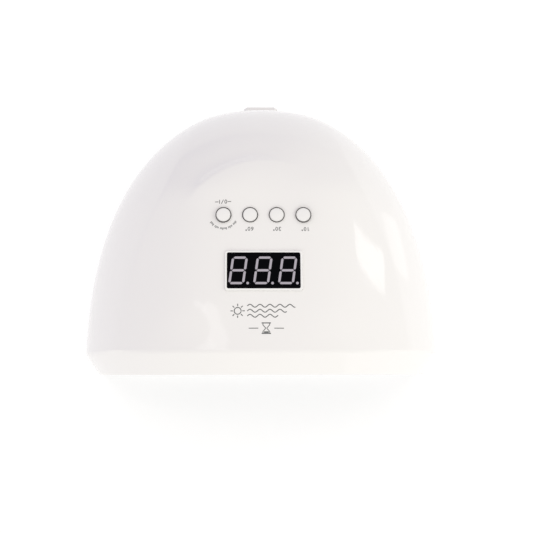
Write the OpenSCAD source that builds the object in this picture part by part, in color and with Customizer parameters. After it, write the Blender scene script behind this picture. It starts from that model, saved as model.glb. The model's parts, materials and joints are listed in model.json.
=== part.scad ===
// Hand-size UV curing lamp: a white dome with a slanted mouth, a reflective
// tunnel with LED boards, a control panel with four push buttons and a
// three-digit timer, and a loose floor plate that the dome lifts off.
// Millimetres. X right, Y towards the power inlet, Z up. The origin is the
// centre of the footprint on the table.

/* [Body] */
// Overall width of the dome at its base
body_w = 198.8; // [190:0.1:210]
// Overall height above the table
body_h = 95; // [93:1:100]
// Y of the dome's rounded rear end
rear_y = 88; // [87:0.5:90]
// Wall thickness of the dome
wall = 2.5; // [2:0.1:3]
// Height of the dome's lower rim above the table
rim_z = 2; // [1.5:0.1:2.5]

/* [Mouth] */
// Lean of the mouth's plane, its top forward
mouth_lean = 14; // [10:0.5:16]
// Y of the mouth's plane at table level
mouth_y = -69; // [-71:0.1:-67]
// Depth of the tapered band round the mouth
band_d = 11.8; // [8:0.1:14]
// How far that band tapers inward
band_in = 8; // [5:0.1:9]

/* [Control panel] */
// Tilt of the panel, its front edge down
panel_tilt = 3.2; // [2:0.1:5]
// Distance between neighbouring buttons
button_pitch = 13.8; // [12.5:0.1:15]
// Radius of a button cap
cap_r = 3.7; // [3.4:0.05:3.8]
// Outer radius of a button's ring
ring_r = 4.1; // [4:0.05:4.5]
// Travel of a button
button_travel = 0.5; // [0.3:0.1:0.6]
// Width of the display module
display_w = 37.6; // [36:0.1:38]
// Height of the display module
display_l = 19; // [18:0.1:20]

/* [Tunnel] */
// Half-width of the hand tunnel
tunnel_hw = 80; // [78:1:81]
// Height of the tunnel's ceiling above the table
tunnel_h = 64; // [60:1:65]
// Wall thickness of the tunnel liner
liner_t = 2; // [1.6:0.1:2.2]

/* [Power inlet] */
// Height of the inlet's centre above the table
inlet_z = 13; // [12.5:0.5:15]
// Radius of the inlet's centre pin
inlet_pin_r = 1; // [0.9:0.05:1.1]
// Radius of the inlet's barrel
inlet_bore_r = 3.1; // [3:0.05:3.3]

/* [Hidden] */
$fn = 48;
eps = 0.01;

half_w = body_w / 2;
lean = tan(mouth_lean);
// Exponents of the dome's cross-section, in x and in z, and of its footprint
sec_n = 2.357;
sec_m = 2.086;
foot_y = -70.9;
foot_p = 1.904;
foot_q = 2.489;
crest_y = 4.6;

// ---- the dome's form -------------------------------------------------------
// Half-width of the footprint at y, for a surface w inside the outer one
function half_at(y, w = 0) = y <= foot_y ? half_w - w :
  (half_w - w) * pow(max(0, 1 - pow((y - foot_y) / (rear_y - w - foot_y), foot_q)), 1 / foot_p);
// Height above the rim on the centre line
function crest_at(y, w = 0) = let (h = body_h - rim_z - w)
  y <= crest_y ? h - 5 * pow((crest_y - y) / 85, 1.3) :
  h * pow(max(0, 1 - pow((y - crest_y) / (rear_y - w - crest_y), 2.142)), 0.599);
// One point of the surface: station y0, leaning by k, at angle t, drawn in by d
function y_of(y0, k, t, w, d, i) = i == 0 ? y0 - 60 * lean * k * sin(t) :
  let (y = y_of(y0, k, t, w, d, i - 1))
  y0 - (rim_z + (crest_at(y, w) - d) * pow(sin(t), 2 / sec_m)) * lean * k;
function skin(y0, k, t, w = 0, d = 0) = let (
    y = y_of(y0, k, t, w, d, 4),
    c = cos(t),
    x = (half_at(y, w) - d) * sign(c) * pow(abs(c), 2 / sec_n),
    z = (crest_at(y, w) - d) * pow(sin(t), 2 / sec_m))
  [x, y, rim_z + z];

n_arc = 30;
angles = [for (i = [0 : n_arc]) 180 * i / n_arc];
// Stations behind the tapered band: [y at table level, lean factor]
stations = [for (i = [0 : 17]) let (f = i / 17, g = sin(90 * f))
  [mouth_y + band_d + (rear_y - 0.15 - mouth_y - band_d) * g, max(0, 1 - 2.2 * g)]];

module form(w, fore, drop) {
  front = fore > 0
    ? [for (r = [[mouth_y - fore, 1], [mouth_y, 1]]) [for (t = angles) skin(r[0], r[1], t, w, band_in)]]
    : [[for (t = angles) skin(mouth_y, 1, t, w, band_in)]];
  body = [for (s = stations) [for (t = angles) skin(s[0] - w * max(0, (s[0] + 40) / 130), s[1], t, w, 0)]];
  rows = concat(front, body);
  n = n_arc + 1;
  m = len(rows);
  pts = [for (r = rows) for (p = r) [p[0], p[1], abs(p[2] - rim_z) < eps ? rim_z - drop : p[2]]];
  sides = [for (i = [0 : m - 2]) for (j = [0 : n - 2])
    each [[i * n + j, i * n + j + 1, (i + 1) * n + j], [i * n + j + 1, (i + 1) * n + j + 1, (i + 1) * n + j]]];
  under = [for (i = [0 : m - 2])
    each [[i * n, (i + 1) * n, i * n + n - 1], [i * n + n - 1, (i + 1) * n, (i + 1) * n + n - 1]]];
  front_cap = [[for (j = [n - 1 : -1 : 0]) j]];
  rear_cap = [[for (j = [0 : n - 1]) (m - 1) * n + j]];
  polyhedron(pts, concat(sides, under, front_cap, rear_cap), convexity = 6);
}

// ---- places ----------------------------------------------------------------
panel_y = -19.4;
panel_z = rim_z + crest_at(panel_y);
button_x = [-1.5, -0.5, 0.5, 1.5] * button_pitch;
button_y = 12;
display_y = -18;
board_top = -9.2;
board_t = 1.6;
board_posts = [[-27, 20], [27, 20], [-27, -26], [27, -26]];
case_posts = [[-89.5, -28], [89.5, -28], [-71, 36], [71, 36]];
magnet_spots = [[-90.5, -50], [90.5, -50], [-78.5, 18], [78.5, 18]];
foot_spots = [[-74, -52], [74, -52], [-50, 40], [50, 40]];

module panel() { translate([0, panel_y, panel_z]) rotate([panel_tilt, 0, 0]) children(); }
module at_buttons() { for (x = button_x) translate([x, button_y, 0]) children(); }
module tube_ring(r1, r2, h) { difference() { cylinder(r = r1, h = h); translate([0, 0, -1]) cylinder(r = r2, h = h + 2); } }

// ---- dome ------------------------------------------------------------------
module inlet_boss() {
  translate([-10, rear_y - 10, inlet_z - 7]) cube([20, 11.2, 14]);
}

module outer_shell() {
  color([0.95, 0.95, 0.94]) difference() {
    union() {
      form(0, 0, 0);
      inlet_boss();
    }
    difference() {
      form(wall, 3, 1);
      // posts that the control board and the tunnel liner screw to
      for (p = board_posts) panel() translate([p[0], p[1], board_top]) tube_ring(3, 1.1, 20);
      for (p = case_posts) translate([p[0], p[1], 7.6]) tube_ring(3.4, 1.3, 60);
      // solid block behind the inlet's boss
      translate([-14, rear_y - 13.5, 7.8]) cube([28, 14, 12.4]);
    }
    panel() at_buttons() translate([0, 0, -6]) cylinder(r = ring_r + 0.02, h = 12);
    panel() translate([-display_w / 2 - 0.8, display_y - display_l / 2 - 0.8, -6]) cube([display_w + 1.6, display_l + 1.6, 12]);
    translate([0, rear_y + 3, inlet_z]) rotate([90, 0, 0]) cylinder(r = 4.3, h = 12);
    translate([-4.8, inlet_face - 14, 6.5]) cube([9.6, 14.05, inlet_z + 5.25 - 6.5]);
    for (x = [-10, 10]) translate([x, inlet_face - 14, inlet_z + 3]) rotate([-90, 0, 0]) cylinder(r = 1.02, h = 8);
    // seat for the bezel
    panel() translate([-display_w / 2 - 1.35, display_y - display_l / 2 - 1.35, -0.9]) cube([display_w + 2.7, display_l + 2.7, 6]);
  }
}

// ---- control panel ---------------------------------------------------------
module display_bezel() {
  color([0.97, 0.97, 0.96]) panel() translate([0, display_y, 0]) difference() {
    union() {
      translate([-display_w / 2 - 1.3, -display_l / 2 - 1.3, -0.88]) cube([display_w + 2.6, display_l + 2.6, 1.68]);
      translate([-display_w / 2 - 0.7, -display_l / 2 - 0.7, -4]) cube([display_w + 1.4, display_l + 1.4, 4]);
    }
    translate([-display_w / 2 - 0.1, -display_l / 2 - 0.1, -5]) cube([display_w + 0.2, display_l + 0.2, 5.63]);
    // lip over the module's edge
    translate([-display_w / 2 + 0.2, -display_l / 2 + 0.3, -5]) cube([display_w - 0.4, display_l - 0.6, 8]);
  }
}

// One digit's segments, [centre x, centre y, length, upright]
seg_h = 13.5;
seg_w = 1.2;
digit_w = 7.0;
segments = [[0, seg_h / 2, 0], [0, 0, 0], [0, -seg_h / 2, 0],
  [-digit_w / 2, seg_h / 4, 1], [digit_w / 2, seg_h / 4, 1],
  [-digit_w / 2, -seg_h / 4, 1], [digit_w / 2, -seg_h / 4, 1]];
digit_slant = tan(8);

module bar(len, up, g) {
  h = seg_w / 2 + g;
  l = len / 2 + g;
  rotate(up ? 90 : 0) polygon([[-l, 0], [-l + h, h], [l - h, h], [l, 0], [l - h, -h], [-l + h, -h]]);
}

module segment_faces(g) {
  for (d = [-1 : 1]) translate([d * 12.7 - 0.4, 0]) multmatrix([[1, digit_slant, 0, 0], [0, 1, 0, 0], [0, 0, 1, 0], [0, 0, 0, 1]]) {
    for (s = segments) translate([s[0], s[1]]) bar(s[2] ? seg_h / 2 - 0.55 : digit_w - 0.55, s[2], g);
  }
  for (d = [-1 : 1]) translate([d * 12.7 + 4.5, -seg_h / 2]) circle(r = 0.7 + g);
}

module display_module() {
  color([0.04, 0.04, 0.05]) panel() translate([0, display_y, 0]) difference() {
    translate([-display_w / 2, -display_l / 2, -8]) cube([display_w, display_l, 8.6]);
    translate([0, 0, 0.15]) linear_extrude(1) segment_faces(0);
  }
  // its pins, which reach through the control board
  color([0.75, 0.75, 0.72]) panel() for (sy = [-1, 1]) for (i = [-2.5 : 2.5])
    translate([i * 2.54 - 0.25, display_y + sy * 7.62 - 0.25, -12.2]) cube([0.5, 0.5, 4.2]);
}

module display_segments() {
  color([0.62, 0.6, 0.63]) panel() translate([0, display_y, 0.15]) linear_extrude(0.44) segment_faces(0);
}

module button_rings() {
  color([0.45, 0.45, 0.46]) panel() at_buttons() translate([0, 0, -2.4]) tube_ring(ring_r, cap_r + 0.1, 3.15);
}

// A cap, with the flange that stops it at its ring
module cap_at(i) { color([0.97, 0.97, 0.97]) panel() translate([button_x[i], button_y, 0]) {
    translate([0, 0, -3.3]) cylinder(r = cap_r, h = 4.0);
    translate([0, 0, -3.4]) cylinder(r = cap_r + 0.3, h = 0.7);
    translate([0, 0, -4.05]) cylinder(r = 1.5, h = 0.7);
  } }
module plunger_at(i) { color([0.12, 0.12, 0.13]) panel() translate([button_x[i], button_y, 0])
    translate([0, 0, -5.4]) cylinder(r = 1.7, h = 1.35); }

module tact_switches() {
  color([0.2, 0.2, 0.21]) panel() at_buttons() difference() {
    translate([-3, -3, board_top]) cube([6, 6, 3.5]);
    translate([0, 0, board_top + 1.6]) cylinder(r = 1.85, h = 4);
  }
}

module control_board() {
  color([0.1, 0.35, 0.2]) panel() difference() {
    translate([-31, -30, board_top - board_t]) cube([62, 54, board_t]);
    for (p = board_posts) translate([p[0], p[1], board_top - 3]) cylinder(r = 1.4, h = 6);
    for (sy = [-1, 1]) for (i = [-2.5 : 2.5])
      translate([i * 2.54, display_y + sy * 7.62, board_top - 3]) cylinder(r = 0.55, h = 6, $fn = 24);
  }
}

module microcontroller() {
  color([0.08, 0.08, 0.08]) panel() translate([-8, 0.5, board_top - board_t - 1.75]) cube([10, 4, 1.6]);
  color([0.75, 0.75, 0.75]) panel() for (i = [0 : 7]) for (sy = [-1, 1])
    translate([-7.5 + i * 1.27 - 0.2, 2.5 + sy * 2.6 - 0.6, board_top - board_t - 0.65]) cube([0.4, 1.2, 0.65]);
}

module capacitors() {
  color([0.15, 0.15, 0.3]) panel() for (p = [[7.5, 6], [15.5, 6]])
    translate([p[0], p[1], board_top - board_t - 8.5]) cylinder(r = 3.1, h = 8.5);
}

module driver_transistors() {
  color([0.1, 0.1, 0.1]) panel() for (x = [-22, -15]) translate([x, 2, board_top - board_t - 2.3]) cube([5, 6, 2.3]);
}

module board_connectors() {
  color([0.93, 0.92, 0.88]) panel() for (p = [[-29, -8], [-29, 6], [24, -8]])
    translate([p[0], p[1], board_top - board_t - 5]) difference() {
      cube([5, 8, 5]);
      translate([0.8, 0.8, -1]) cube([3.4, 6.4, 4.5]);
    }
}

module screw(head_r, head_h, r, len) {
  difference() {
    union() {
      cylinder(r = head_r, h = head_h);
      translate([0, 0, head_h - eps]) cylinder(r = r, h = len + eps);
    }
    for (a = [0, 90]) rotate(a) translate([-head_r * 0.62, -0.35, -1]) cube([head_r * 1.24, 0.7, 1 + head_h * 0.55]);
  }
}

module board_screws() {
  color([0.7, 0.7, 0.7]) panel() for (p = board_posts)
    translate([p[0], p[1], board_top - board_t - 1.6]) screw(2.4, 1.6, 1.08, 4);
}

// ---- tunnel ----------------------------------------------------------------
floor_z = 5.4;
// Plan of the tunnel, as its right half from front to rear
plan_half = [[tunnel_hw, -96], [tunnel_hw, -30], [tunnel_hw - 4, -4], [tunnel_hw - 12, 16], [tunnel_hw - 23, 34], [tunnel_hw - 34, 48], [tunnel_hw - 48, 58], [16, 66]];
// Section across the tunnel, as its right half from floor to ceiling
arch_half = [[tunnel_hw, 0], [tunnel_hw, 26], [tunnel_hw - 17, 54], [tunnel_hw - 34, tunnel_h]];
// Side profile: the ceiling, then the slope down at the rear
slope_half = [[-96, 0], [-96, tunnel_h], [8, tunnel_h], [54, 40], [68, 22], [68, 0]];
function mirrored(h) = concat(h, [for (i = [len(h) - 1 : -1 : 0]) [-h[i][0], h[i][1]]]);

module tunnel_form(g) {
  intersection() {
    translate([0, 0, g > 0 ? floor_z : -5]) linear_extrude(90) offset_plan(g);
    translate([0, 100, 0]) rotate([90, 0, 0]) linear_extrude(200) polygon(mirrored(grow(arch_half, g)));
    rotate([90, 0, 90]) translate([0, 0, -120]) linear_extrude(240)
      polygon([for (p = slope_half) [p[0] > 0 ? p[0] + g * 0.9 : p[0], p[1] > 1 ? p[1] + g : p[1] - 10]]);
  }
}
function grow(h, g) = [for (i = [0 : len(h) - 1]) [h[i][0] + g * (i < 2 ? 1 : i == 2 ? 0.85 : 0.5), h[i][1] + (i == 0 ? -20 : i == 1 ? g * 0.3 : i == 2 ? g * 0.6 : g)]];
module offset_plan(g) {
  polygon(mirrored([for (p = plan_half) [p[0] + (p[0] > 20 ? g : g * 0.6), p[1] + (p[1] > 0 ? g : 0)]]));
}
// A slab parallel to the mouth's plane, from depth d1 to d2 behind it
module mouth_slab(d1, d2) {
  translate([0, mouth_y, 0]) rotate([mouth_lean, 0, 0]) translate([-130, d1 * cos(mouth_lean), -30]) cube([260, (d2 - d1) * cos(mouth_lean), 180]);
}
// The flange's outline in the mouth's plane, drawn in by d
function mouth_outline(d, y0) = [for (t = angles) let (p = skin(y0, 1, t, 0, d)) [p[0], (p[2]) / cos(mouth_lean)]];

module mouth_flange() {
  intersection() {
    translate([0, mouth_y + 3.6, 0]) rotate([90 + mouth_lean, 0, 0])
      linear_extrude(2) polygon(concat([[half_w - band_in - 2.6 + 0.4, floor_z], [-(half_w - band_in - 2.6 + 0.4), floor_z]], [for (i = [n_arc : -1 : 0]) let (o = mouth_outline(band_in + 2.6 - 0.4, mouth_y)) [o[i][0], max(floor_z, o[i][1])]]));
    translate([-120, -130, floor_z]) cube([240, 130, 120]);
  }
}

led_r = 2.6;
ceiling_spots = concat([for (x = [-36, -12, 12, 36]) for (y = [-66, -40, -14]) [x, y]], [[-24, 4], [0, 4], [24, 4]]);
side_spots = [for (y = [-58, -32, -6]) y];
module side_place(s, u, v) {
  // s: side, u: along Y, v: up the haunch; Z points into the tunnel
  a = atan2(28, 17);
  translate([s * (tunnel_hw - 8.5), u, 40]) rotate([0, s * (a - 180) , 0]) translate([s * v, 0, 0]) children();
}
module rear_place(u, v) {
  a = atan2(24, 46);
  translate([u, 31, 52]) rotate([180 - a, 0, 0]) translate([0, v, 0]) children();
}
module led_holes() {
  for (p = ceiling_spots) translate([p[0], p[1], tunnel_h - 2]) cylinder(r = led_r, h = 8);
  for (s = [-1, 1]) for (u = side_spots) side_place(s, u, 0) translate([0, 0, -6]) cylinder(r = led_r, h = 9);
  for (u = [-24, 0, 24]) rear_place(u, 0) translate([0, 0, -6]) cylinder(r = led_r, h = 9);
}

module tunnel_liner() {
  color([0.8, 0.81, 0.82]) difference() {
    union() {
      difference() {
        union() {
          intersection() { tunnel_form(liner_t); mouth_slab(3.4, 300); }
          // brim that closes the dome's underside
          translate([0, 0, floor_z]) linear_extrude(2) brim_outline();
          mouth_flange();
        }
        tunnel_form(0);
      }
    }
    led_holes();
    for (p = case_posts) translate([p[0], p[1], 0]) cylinder(r = 1.6, h = 20);
    for (x = [-6, 6]) translate([x, -78, tunnel_h - 2]) cylinder(r = 1.7, h = 8);
  }
}
module brim_outline() {
  ys = [mouth_y + 1.6, mouth_y + band_d, -40, -20, 0, 15, 28, 40, 50, 58, 65, 71, 76, 80];
  polygon(mirrored([for (y = ys) [y < mouth_y + band_d - 1 ? half_w - wall - 0.5 - band_in + 1.1 : half_at(y, wall) - 0.5, y]]));
}

// ---- light sources ---------------------------------------------------------
module ceiling_led_board() {
  color([0.92, 0.92, 0.9]) difference() {
    translate([-42, -74, tunnel_h + liner_t + 0.05]) cube([84, 82, 1.5]);
    for (p = board_screw_spots) translate([p[0], p[1], tunnel_h]) cylinder(r = 1.2, h = 6);
    translate([-14, -83, tunnel_h + 1]) cube([28, 12, 6]);
  }
}
board_screw_spots = [[-39, -27], [39, -27], [0, -53]];
module side_led_board(s) {
  color([0.92, 0.92, 0.9]) difference() {
    side_place(s, -32, 0) translate([-7.5, -34, -1.42 - liner_t]) cube([15, 68, 1.3]);
    // notches for its leads
    side_place(s, -32, 0) for (y = [-34, 34]) translate([4, y, -10]) cylinder(r = 1.6, h = 20);
  }
}
module rear_led_board() {
  color([0.92, 0.92, 0.9]) rear_place(0, 0) translate([-32, -7, -1.98 - liner_t]) cube([64, 14, 1.3]);
}
module led() { translate([-1.75, -1.75, 0]) cube([3.5, 3.5, 0.9]); }
module lens() { intersection() { translate([0, 0, -0.6]) sphere(r = 2.1, $fn = 24); translate([-3, -3, 0]) cube([6, 6, 4]); } }
module at_ceiling() { for (p = ceiling_spots) translate([p[0], p[1], tunnel_h + liner_t + 0.04]) rotate([180, 0, 0]) children(); }
module at_side(s) { for (u = side_spots) side_place(s, u, 0) translate([0, 0, -liner_t - 0.1]) children(); }
module at_rear() { for (u = [-24, 0, 24]) rear_place(u, 0) translate([0, 0, -liner_t - 0.66]) children(); }
module ceiling_leds() { color([0.95, 0.9, 0.6]) at_ceiling() led(); }
module left_leds() { color([0.95, 0.9, 0.6]) at_side(-1) led(); }
module right_leds() { color([0.95, 0.9, 0.6]) at_side(1) led(); }
module rear_leds() { color([0.95, 0.9, 0.6]) at_rear() led(); }
module ceiling_led_lenses() { color([0.9, 0.92, 0.95, 0.6]) at_ceiling() translate([0, 0, 0.92]) lens(); }
module left_led_lenses() { color([0.9, 0.92, 0.95, 0.6]) at_side(-1) translate([0, 0, 0.92]) lens(); }
module right_led_lenses() { color([0.9, 0.92, 0.95, 0.6]) at_side(1) translate([0, 0, 0.92]) lens(); }
module rear_led_lenses() { color([0.9, 0.92, 0.95, 0.6]) at_rear() translate([0, 0, 0.92]) lens(); }
module led_board_screws() {
  color([0.7, 0.7, 0.7]) for (p = board_screw_spots)
    translate([p[0], p[1], tunnel_h + liner_t + 1.6]) rotate([180, 0, 0]) translate([0, 0, -1.2]) screw(2, 1.2, 1.0, 1.2);
}

// ---- hand sensor -----------------------------------------------------------
module infrared_emitter() { color([0.85, 0.9, 1]) translate([-6, -78, tunnel_h + 0.2]) { cylinder(r = 1.5, h = 3.4); cylinder(r = 1.5, h = 1); } }
module infrared_receiver() { color([0.1, 0.08, 0.12]) translate([6, -78, tunnel_h + 0.2]) cylinder(r = 1.5, h = 3.4); }
module sensor_board() { color([0.1, 0.35, 0.2]) translate([-12, -82, tunnel_h + 3.7]) cube([24, 8, 1.2]); }

// ---- power inlet -----------------------------------------------------------
inlet_face = rear_y - 1.2;
inlet_pin_len = 14.2;
module inlet_body() {
  color([0.07, 0.07, 0.08]) difference() {
    union() {
      translate([-4.5, inlet_face - 12.5, inlet_z - 5]) cube([9, 12.5, 10]);
      translate([0, inlet_face + 1.9, inlet_z]) rotate([90, 0, 0]) cylinder(r = 4.2, h = 3);
    }
    translate([0, inlet_face + 3, inlet_z]) rotate([90, 0, 0]) cylinder(r = inlet_bore_r, h = 13);
    translate([0, inlet_face - 8, inlet_z]) rotate([90, 0, 0]) cylinder(r = inlet_pin_r + 0.6, h = 8);
  }
}
module inlet_pin() {
  color([0.8, 0.8, 0.78]) translate([0, inlet_face + 0.6, inlet_z]) rotate([90, 0, 0]) cylinder(r = inlet_pin_r, h = inlet_pin_len - 2.2);
  color([0.8, 0.8, 0.78]) translate([0, inlet_face - 11.4, inlet_z]) rotate([90, 0, 0]) cylinder(r = inlet_pin_r + 0.6, h = 1.1);
}
module inlet_terminals() {
  color([0.8, 0.8, 0.78]) for (p = [[-3, -3], [3, -3]])
    translate([p[0] - 0.9, inlet_face - 16.6, inlet_z + p[1] - 0.3]) cube([1.8, 4.1, 0.5]);
}
module inlet_clamp() {
  color([0.95, 0.95, 0.94]) difference() {
    translate([-13, inlet_face - 14.2, inlet_z - 0.5]) cube([26, 1.6, 7]);
    for (x = [-10, 10]) translate([x, inlet_face - 16, inlet_z + 3]) rotate([-90, 0, 0]) cylinder(r = 1.2, h = 6);
  }
}
module inlet_screws() {
  color([0.7, 0.7, 0.7]) for (x = [-10, 10]) translate([x, inlet_face - 15.52, inlet_z + 3]) rotate([-90, 0, 0]) screw(2, 1.3, 1.0, 6);
}

// ---- wiring ----------------------------------------------------------------
// A lead is swept along its own points, ring by ring
function unit(v) = v / max(norm(v), 1e-9);
function bez(p, t) = let (n = len(p)) n == 1 ? p[0] : bez([for (i = [0 : n - 2]) p[i] * (1 - t) + p[i + 1] * t], t);
module lead(route, r) {
  n = 26;
  k = 8;
  path = [for (i = [0 : n]) bez(route, i / n)];
  dirs = [for (i = [0 : n]) unit(path[min(n, i + 1)] - path[max(0, i - 1)])];
  pts = [for (i = [0 : n]) let (u = unit(cross(dirs[i], [0.31, 0.11, 0.94])), v = cross(dirs[i], u))
    for (j = [0 : k - 1]) path[i] + r * (cos(360 * j / k) * u + sin(360 * j / k) * v)];
  faces = concat(
    [for (i = [0 : n - 1]) for (j = [0 : k - 1]) let (q = (j + 1) % k)
      each [[i * k + j, i * k + q, (i + 1) * k + j], [i * k + q, (i + 1) * k + q, (i + 1) * k + j]]],
    [[for (j = [k - 1 : -1 : 0]) j]], [[for (j = [0 : k - 1]) n * k + j]]);
  polyhedron(pts, faces, convexity = 4);
}
module power_leads() {
  for (s = [-1, 1]) color(s > 0 ? [0.7, 0.1, 0.1] : [0.1, 0.1, 0.1])
    lead([[s * 3, 70.8, 10.9], [s * 3, 70, 38], [s * 3 + 8, 60, 56], [s * 2 + 18, 36, 70], [s * 2 + 26, 8, 75], [s * 2 + 26.5, -20, 76.2]], 0.75);
}
module led_leads() {
  for (s = [-1, 1]) color([0.85, 0.85, 0.85])
    lead([[s * 34, -12, 68.3], [s * 40, -12, 76], [s * 36, -20, 78], [s * 27, -25, 72], [s * 26.5, -25, 76.6]], 0.6);
}
module sensor_leads() {
  color([0.75, 0.75, 0.2]) lead([[0, -76, 69.6], [0, -70, 78], [-14, -50, 74], [-18, -20, 71], [-26.5, -10, 71], [-26.5, -9, 76.8]], 0.6);
}

// ---- fasteners and floor ---------------------------------------------------
module case_screws() {
  color([0.55, 0.55, 0.57]) for (p = case_posts) translate([p[0], p[1], floor_z - 1.7 + 0.0]) translate([0, 0, 0]) screw(2.8, 1.7, 1.25, 12);
}
module holding_magnets() {
  color([0.72, 0.73, 0.75]) for (p = magnet_spots) translate([p[0], p[1], floor_z + 2.02]) cylinder(r = 3.5, h = 2);
}
plate_z = rim_z;
module plate_outline(g) {
  ys = [mouth_y + 1.2, mouth_y + band_d, -40, -20, 0, 15, 28, 40, 50, 58, 65, 71, 76, 80, 83];
  polygon(mirrored([for (y = ys) [max(0.5, (y < mouth_y + band_d - 1 ? half_w - wall - 0.8 - band_in + 1 : half_at(y, wall) - 0.8) - g), y - (y > 60 ? g : 0)]]));
}
module floor_plate() {
  color([0.95, 0.95, 0.94]) difference() {
    union() {
      translate([0, 0, plate_z]) linear_extrude(1.4) plate_outline(0);
      translate([0, 0, plate_z]) linear_extrude(6) raised_outline(0);
    }
    translate([0, 0, plate_z - 1]) linear_extrude(4.6) raised_outline(-2.2);
    for (p = foot_spots) translate([p[0], p[1], 0]) cylinder(r = 6.05, h = plate_z + 0.6);
  }
}
module raised_outline(g) {
  polygon(mirrored([for (p = plan_half) [p[0] - 1.5 + (p[0] > 20 ? g : g * 0.6), p[1] < -90 ? mouth_y + 1.2 - g : p[1] + (p[1] > 0 ? g - 1.5 : 0)]]));
}
module floor_reflector() {
  color([0.85, 0.86, 0.88]) translate([0, 0, plate_z + 6.02]) linear_extrude(0.5) raised_outline(-3);
}
module keeper_discs() {
  color([0.6, 0.6, 0.62]) for (p = magnet_spots) translate([p[0], p[1], plate_z + 1.42]) cylinder(r = 3.5, h = 1);
}
module rubber_feet() {
  color([0.15, 0.15, 0.15]) for (p = foot_spots) translate([p[0], p[1], 0]) cylinder(r = 6, h = plate_z + 0.55);
}

outer_shell();
display_bezel();
display_module();
display_segments();
button_rings();
cap_at(0);  // power_button_cap
cap_at(1);  // button_cap_60
cap_at(2);  // button_cap_30
cap_at(3);  // button_cap_10
plunger_at(0);  // power_switch_plunger
plunger_at(1);  // switch_plunger_60
plunger_at(2);  // switch_plunger_30
plunger_at(3);  // switch_plunger_10
tact_switches();
control_board();
microcontroller();
capacitors();
driver_transistors();
board_connectors();
board_screws();
tunnel_liner();
ceiling_led_board();
side_led_board(-1);  // left_led_board
side_led_board(1);  // right_led_board
rear_led_board();
ceiling_leds();
left_leds();
right_leds();
rear_leds();
ceiling_led_lenses();
left_led_lenses();
right_led_lenses();
rear_led_lenses();
led_board_screws();
infrared_emitter();
infrared_receiver();
sensor_board();
inlet_body();
inlet_pin();
inlet_terminals();
inlet_clamp();
inlet_screws();
power_leads();
led_leads();
sensor_leads();
case_screws();
holding_magnets();
floor_plate();
floor_reflector();
keeper_discs();
rubber_feet();
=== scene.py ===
import bpy, bmesh, json, math
import numpy as np
from mathutils import Matrix, Vector
from mathutils.bvhtree import BVHTree
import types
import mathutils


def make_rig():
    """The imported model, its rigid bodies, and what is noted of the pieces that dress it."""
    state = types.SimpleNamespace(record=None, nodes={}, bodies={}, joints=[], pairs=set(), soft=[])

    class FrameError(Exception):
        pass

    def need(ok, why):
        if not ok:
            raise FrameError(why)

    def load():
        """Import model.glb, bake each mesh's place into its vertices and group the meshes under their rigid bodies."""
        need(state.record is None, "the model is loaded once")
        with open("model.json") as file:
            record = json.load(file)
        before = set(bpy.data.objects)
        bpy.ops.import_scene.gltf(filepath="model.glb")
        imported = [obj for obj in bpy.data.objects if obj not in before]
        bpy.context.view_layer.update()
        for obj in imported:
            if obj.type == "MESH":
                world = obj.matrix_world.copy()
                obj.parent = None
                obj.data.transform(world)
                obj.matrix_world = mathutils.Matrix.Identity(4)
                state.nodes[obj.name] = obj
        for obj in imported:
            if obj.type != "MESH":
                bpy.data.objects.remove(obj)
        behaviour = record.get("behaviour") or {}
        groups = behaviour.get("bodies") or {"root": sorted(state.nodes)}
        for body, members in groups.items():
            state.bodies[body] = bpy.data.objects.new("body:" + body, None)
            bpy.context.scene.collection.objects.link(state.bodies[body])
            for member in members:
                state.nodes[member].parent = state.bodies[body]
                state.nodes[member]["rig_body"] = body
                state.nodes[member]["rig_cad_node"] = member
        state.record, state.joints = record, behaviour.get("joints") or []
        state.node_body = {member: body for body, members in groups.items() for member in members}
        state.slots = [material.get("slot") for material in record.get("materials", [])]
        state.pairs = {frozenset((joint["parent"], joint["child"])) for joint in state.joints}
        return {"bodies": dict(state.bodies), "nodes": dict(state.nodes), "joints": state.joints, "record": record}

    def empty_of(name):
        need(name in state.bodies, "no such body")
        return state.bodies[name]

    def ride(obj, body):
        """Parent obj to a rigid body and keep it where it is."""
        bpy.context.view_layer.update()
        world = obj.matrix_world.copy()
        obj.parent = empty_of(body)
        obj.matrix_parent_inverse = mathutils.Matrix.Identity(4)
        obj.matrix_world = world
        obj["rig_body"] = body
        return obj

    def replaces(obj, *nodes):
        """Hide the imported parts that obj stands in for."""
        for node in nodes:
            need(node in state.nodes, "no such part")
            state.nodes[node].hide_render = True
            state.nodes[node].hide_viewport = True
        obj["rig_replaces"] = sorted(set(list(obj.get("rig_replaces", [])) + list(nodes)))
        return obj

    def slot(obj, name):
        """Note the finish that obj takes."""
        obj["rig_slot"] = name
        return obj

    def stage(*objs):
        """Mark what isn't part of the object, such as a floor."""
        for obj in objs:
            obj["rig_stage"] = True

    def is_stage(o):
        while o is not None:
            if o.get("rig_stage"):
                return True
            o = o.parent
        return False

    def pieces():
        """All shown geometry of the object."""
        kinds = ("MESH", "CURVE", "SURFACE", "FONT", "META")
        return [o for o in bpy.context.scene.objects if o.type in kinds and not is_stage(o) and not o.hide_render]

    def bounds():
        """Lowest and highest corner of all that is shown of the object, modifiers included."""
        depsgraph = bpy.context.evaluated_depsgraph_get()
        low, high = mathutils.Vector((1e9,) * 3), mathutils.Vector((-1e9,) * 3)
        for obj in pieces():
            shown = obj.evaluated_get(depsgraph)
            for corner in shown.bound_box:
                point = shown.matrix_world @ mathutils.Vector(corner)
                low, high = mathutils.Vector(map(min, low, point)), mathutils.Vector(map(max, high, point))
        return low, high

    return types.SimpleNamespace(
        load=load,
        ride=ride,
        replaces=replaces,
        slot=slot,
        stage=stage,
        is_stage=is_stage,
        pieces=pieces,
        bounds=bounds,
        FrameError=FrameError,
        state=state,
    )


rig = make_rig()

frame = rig.load()
NODES = frame["nodes"]
CAD_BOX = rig.bounds()
scene = bpy.context.scene
MM = 0.001

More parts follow.
